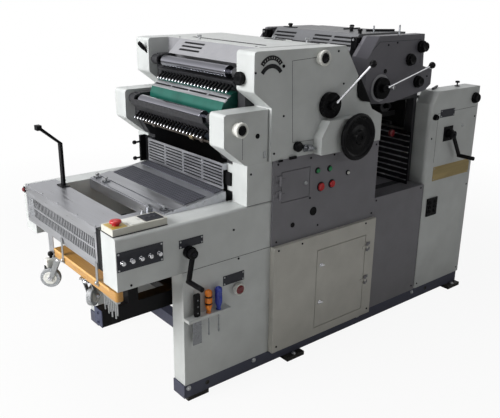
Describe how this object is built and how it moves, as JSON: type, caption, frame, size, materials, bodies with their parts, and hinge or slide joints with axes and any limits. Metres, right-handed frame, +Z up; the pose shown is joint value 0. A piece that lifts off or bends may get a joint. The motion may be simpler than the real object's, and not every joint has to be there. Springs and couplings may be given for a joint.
{
  "type": "offset printing press",
  "caption": "Two-colour sheet-fed offset printing press: sheet feeder with pile board, two inking heads over cylinders, transfer section and pile delivery on base rails.",
  "frame": {"origin": "on the floor under the middle of the press's overall box", "axes": "+X with the paper from feeder to delivery, +Y from the operator side to the drive side, +Z up"},
  "size_m": [2.3541, 1.06, 1.552],
  "materials": {
    "light_paint": "satin",
    "dark_paint": "satin",
    "base_paint": "satin",
    "cast": "painted",
    "stainless": "brushed",
    "steel": "machined",
    "chrome": "polished",
    "black": "matte",
    "black_steel": "satin",
    "plate_green": "coated",
    "blanket_rubber": "matte",
    "mat": "ribbed",
    "wood": "varnished",
    "caster_grey": "translucent",
    "cream": "satin",
    "stop_red": "gloss",
    "buttons": "gloss",
    "tool_grip": "gloss"
  },
  "bodies": {
    "machine": {"base_frame": "base_paint", "black_knobs": "black", "blanket_cylinder": "blanket_rubber", "body_sides": "light_paint", "cabinets": "light_paint", "chrome_knobs": "chrome", "collar_knobs": "cream", "control_box": "cream", "control_panels": "dark_paint", "delivery_board": "wood", "delivery_hood": "light_paint", "delivery_sides": "light_paint", "door_hinges": "steel", "feed_mats": "mat", "feed_table": "stainless", "feeder_bulkhead": "black_steel", "feeder_legs": "light_paint", "feeder_sides": "light_paint", "floor_pads": "black_steel", "hold_arm": "black_steel", "hood_bar": "black_steel", "hood_pins": "steel", "ink_ducts": "steel", "ink_keys": "black", "ink_knife": "black_steel", "louvred_guards": "stainless", "lower_heads": "light_paint", "panel_buttons": "buttons", "pile_guides": "black_steel", "pivot_bosses": "black_steel", "register_shaft": "steel", "screwdrivers": "tool_grip", "side_frames": "cast", "slotted_guards": "stainless", "stop_button": "stop_red", "tool_rack": "black_steel", "transfer_boxes": "dark_paint", "unit1_hood": "light_paint", "unit2_heads": "dark_paint", "unit2_hood": "light_paint", "upper_heads": "light_paint", "wheel_housing": "light_paint"},
    "handwheel_body": {"handwheel": "black"},
    "plate_cylinder_body": {"plate_cylinder": "plate_green", "plate_clamp": "steel"},
    "ink_roller_upper_body": {"ink_roller_upper": "chrome"},
    "ink_roller_lower_body": {"ink_roller_lower": "chrome"},
    "lever_first_body": {"lever_first": "black_steel"},
    "lever_second_body": {"lever_second": "black_steel"},
    "feeder_crank_body": {"feeder_crank": "black_steel"},
    "delivery_crank_body": {"delivery_crank": "black_steel"},
    "cabinet_door_body": {"cabinet_door": "light_paint"},
    "access_door_body": {"access_door": "dark_paint"},
    "pile_body": {"pile_board": "wood", "pile_truck": "black_steel", "caster_forks": "steel"},
    "caster_wheel_1_body": {"caster_wheel_1": "caster_grey"},
    "caster_wheel_2_body": {"caster_wheel_2": "caster_grey"}
  },
  "joints": [
    {"name": "plate_cylinder_turn", "type": "hinge", "parent": "machine", "child": "plate_cylinder_body", "pos_m": [-0.422, 0.048, 1.209], "axis": [0, 1, 0], "continuous": true},
    {"name": "handwheel_turn", "type": "hinge", "parent": "machine", "child": "handwheel_body", "pos_m": [0.085, -0.502, 1.078], "axis": [0, 1, 0], "continuous": true},
    {"name": "ink_roller_upper_turn", "type": "hinge", "parent": "machine", "child": "ink_roller_upper_body", "pos_m": [-0.435, 0.048, 1.377], "axis": [0, 1, 0], "continuous": true},
    {"name": "ink_roller_lower_turn", "type": "hinge", "parent": "machine", "child": "ink_roller_lower_body", "pos_m": [-0.569, 0.048, 1.198], "axis": [0, 1, 0], "continuous": true},
    {"name": "lever_first_swing", "type": "hinge", "parent": "machine", "child": "lever_first_body", "pos_m": [-0.042, -0.447, 1.227], "axis": [0, 1, 0], "range_deg": [-50, 0]},
    {"name": "lever_second_swing", "type": "hinge", "parent": "machine", "child": "lever_second_body", "pos_m": [0.366, -0.402, 1.26], "axis": [0, 1, 0], "range_deg": [-45, 0]},
    {"name": "feeder_crank_turn", "type": "hinge", "parent": "machine", "child": "feeder_crank_body", "pos_m": [-0.792, -0.432, 0.706], "axis": [0, 1, 0], "continuous": true},
    {"name": "delivery_crank_turn", "type": "hinge", "parent": "machine", "child": "delivery_crank_body", "pos_m": [0.918, -0.432, 0.971], "axis": [0, 1, 0], "continuous": true},
    {"name": "cabinet_door_swing", "type": "hinge", "parent": "machine", "child": "cabinet_door_body", "pos_m": [0.271, -0.438, 0.3], "axis": [0, 0, 1], "range_deg": [0, 110]},
    {"name": "access_door_swing", "type": "hinge", "parent": "machine", "child": "access_door_body", "pos_m": [-0.314, -0.418, 0.88], "axis": [0, 0, -1], "range_deg": [0, 100]},
    {"name": "pile_lift", "type": "slide", "parent": "machine", "child": "pile_body", "axis": [0, 0, 1], "range_m": [-0.4, 0]},
    {"name": "caster_wheel_1_roll", "type": "hinge", "parent": "pile_body", "child": "caster_wheel_1_body", "pos_m": [-1.06486, -0.07552, 0.465], "axis": [0.6018, -0.7986, 0], "continuous": true},
    {"name": "caster_wheel_2_roll", "type": "hinge", "parent": "pile_body", "child": "caster_wheel_2_body", "pos_m": [-1.13419, 0.20769, 0.465], "axis": [0.6293, 0.7771, 0], "continuous": true}
  ],
  "couplings": [
    {"joint": "handwheel_turn", "follows": "plate_cylinder_turn", "ratio": -2}
  ]
}
